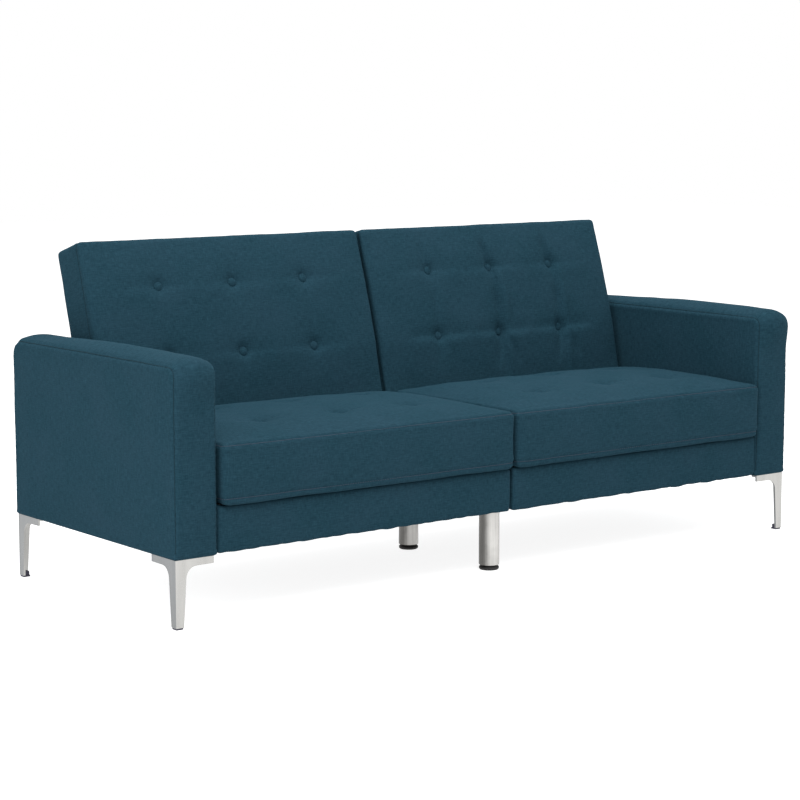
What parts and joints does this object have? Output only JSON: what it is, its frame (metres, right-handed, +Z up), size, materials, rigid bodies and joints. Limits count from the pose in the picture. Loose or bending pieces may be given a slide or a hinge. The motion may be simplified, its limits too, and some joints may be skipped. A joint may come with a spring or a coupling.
{
  "type": "futon sofa bed",
  "caption": "Split-back click-clack sofa bed: two tufted backs recline on ratchet hinges to lie flat behind the padded seats, between padded arms on metal legs.",
  "frame": {"origin": "on the floor, under the middle of the overall width and depth", "axes": "+X to the right of someone facing the sofa, +Y towards its rear, +Z up"},
  "size_m": [1.9, 0.7338, 0.7944],
  "materials": {
    "upholstery": "fine woven petrol-blue cloth",
    "covered_button": "cloth-covered button",
    "dust_cloth": "black non-woven cloth",
    "elastic_strap": "woven elastic webbing",
    "rail_timber": "sawn pine",
    "polished_leg": "polished casting",
    "brushed_tube": "brushed nickel",
    "hinge_steel": "black paint",
    "spring_steel": "oiled wire",
    "fastener_steel": "zinc plated",
    "glide_plastic": "moulded",
    "foot_rubber": "black moulded"
  },
  "bodies": {
    "base": {"left_seat_side_rails": "rail_timber", "left_seat_cross_rails": "rail_timber", "left_seat_springs": "spring_steel", "left_seat_apron": "upholstery", "left_seat_cushion": "upholstery", "left_seat_buttons": "covered_button", "left_dust_cover": "dust_cloth", "left_arm_frame": "rail_timber", "left_arm_cover": "upholstery", "left_front_leg": "polished_leg", "left_rear_leg": "polished_leg", "left_leg_glides": "glide_plastic", "left_outer_seat_plate": "hinge_steel", "left_inner_seat_plate": "hinge_steel", "left_hinge_rivets": "fastener_steel", "left_outer_pawl_spring": "spring_steel", "left_inner_pawl_spring": "spring_steel", "right_seat_side_rails": "rail_timber", "right_seat_cross_rails": "rail_timber", "right_seat_springs": "spring_steel", "right_seat_apron": "upholstery", "right_seat_cushion": "upholstery", "right_seat_buttons": "covered_button", "right_dust_cover": "dust_cloth", "right_arm_frame": "rail_timber", "right_arm_cover": "upholstery", "right_front_leg": "polished_leg", "right_rear_leg": "polished_leg", "right_leg_glides": "glide_plastic", "right_outer_seat_plate": "hinge_steel", "right_inner_seat_plate": "hinge_steel", "right_hinge_rivets": "fastener_steel", "right_outer_pawl_spring": "spring_steel", "right_inner_pawl_spring": "spring_steel", "centre_front_leg": "brushed_tube", "centre_rear_leg": "brushed_tube", "centre_plates": "fastener_steel", "arm_bolts": "fastener_steel", "leg_screws": "fastener_steel", "joining_bolts": "fastener_steel"},
    "left_back": {"left_outer_back_plate": "hinge_steel", "left_inner_back_plate": "hinge_steel", "left_back_frame": "rail_timber", "left_back_straps": "elastic_strap", "left_back_cushion": "upholstery", "left_back_buttons": "covered_button", "left_back_lining": "dust_cloth"},
    "left_outer_pawl": {"left_outer_pawl": "hinge_steel"},
    "left_inner_pawl": {"left_inner_pawl": "hinge_steel"},
    "right_back": {"right_outer_back_plate": "hinge_steel", "right_inner_back_plate": "hinge_steel", "right_back_frame": "rail_timber", "right_back_straps": "elastic_strap", "right_back_cushion": "upholstery", "right_back_buttons": "covered_button", "right_back_lining": "dust_cloth"},
    "right_outer_pawl": {"right_outer_pawl": "hinge_steel"},
    "right_inner_pawl": {"right_inner_pawl": "hinge_steel"},
    "centre_front_foot": {"centre_front_foot": "foot_rubber"},
    "centre_rear_foot": {"centre_rear_foot": "foot_rubber"}
  },
  "joints": [
    {"name": "left_back_recline", "type": "hinge", "parent": "base", "child": "left_back", "pos_m": [-0.41975, 0.18409, 0.348], "axis": [-1, 0, 0], "range_deg": [-12, 74]},
    {"name": "left_outer_pawl_lift", "type": "hinge", "parent": "base", "child": "left_outer_pawl", "pos_m": [-0.804, 0.15339, 0.2988], "axis": [-1, 0, 0], "range_deg": [0, 12], "stiffness_Nm_per_rad": 0.05, "springref_deg": -17.19, "deforming": ["left_outer_pawl_spring"]},
    {"name": "left_inner_pawl_lift", "type": "hinge", "parent": "base", "child": "left_inner_pawl", "pos_m": [-0.0355, 0.15339, 0.2988], "axis": [-1, 0, 0], "range_deg": [0, 12], "stiffness_Nm_per_rad": 0.05, "springref_deg": -17.19, "deforming": ["left_inner_pawl_spring"]},
    {"name": "right_back_recline", "type": "hinge", "parent": "base", "child": "right_back", "pos_m": [0.41975, 0.18409, 0.348], "axis": [-1, 0, 0], "range_deg": [-12, 74]},
    {"name": "right_outer_pawl_lift", "type": "hinge", "parent": "base", "child": "right_outer_pawl", "pos_m": [0.804, 0.15339, 0.2988], "axis": [-1, 0, 0], "range_deg": [0, 12], "stiffness_Nm_per_rad": 0.05, "springref_deg": -17.19, "deforming": ["right_outer_pawl_spring"]},
    {"name": "right_inner_pawl_lift", "type": "hinge", "parent": "base", "child": "right_inner_pawl", "pos_m": [0.0355, 0.15339, 0.2988], "axis": [-1, 0, 0], "range_deg": [0, 12], "stiffness_Nm_per_rad": 0.05, "springref_deg": -17.19, "deforming": ["right_inner_pawl_spring"]},
    {"name": "front_foot_levelling", "type": "slide", "parent": "base", "child": "centre_front_foot", "axis": [0, 0, -1], "range_m": [0, 0.01]},
    {"name": "rear_foot_levelling", "type": "slide", "parent": "base", "child": "centre_rear_foot", "axis": [0, 0, -1], "range_m": [0, 0.01]}
  ]
}
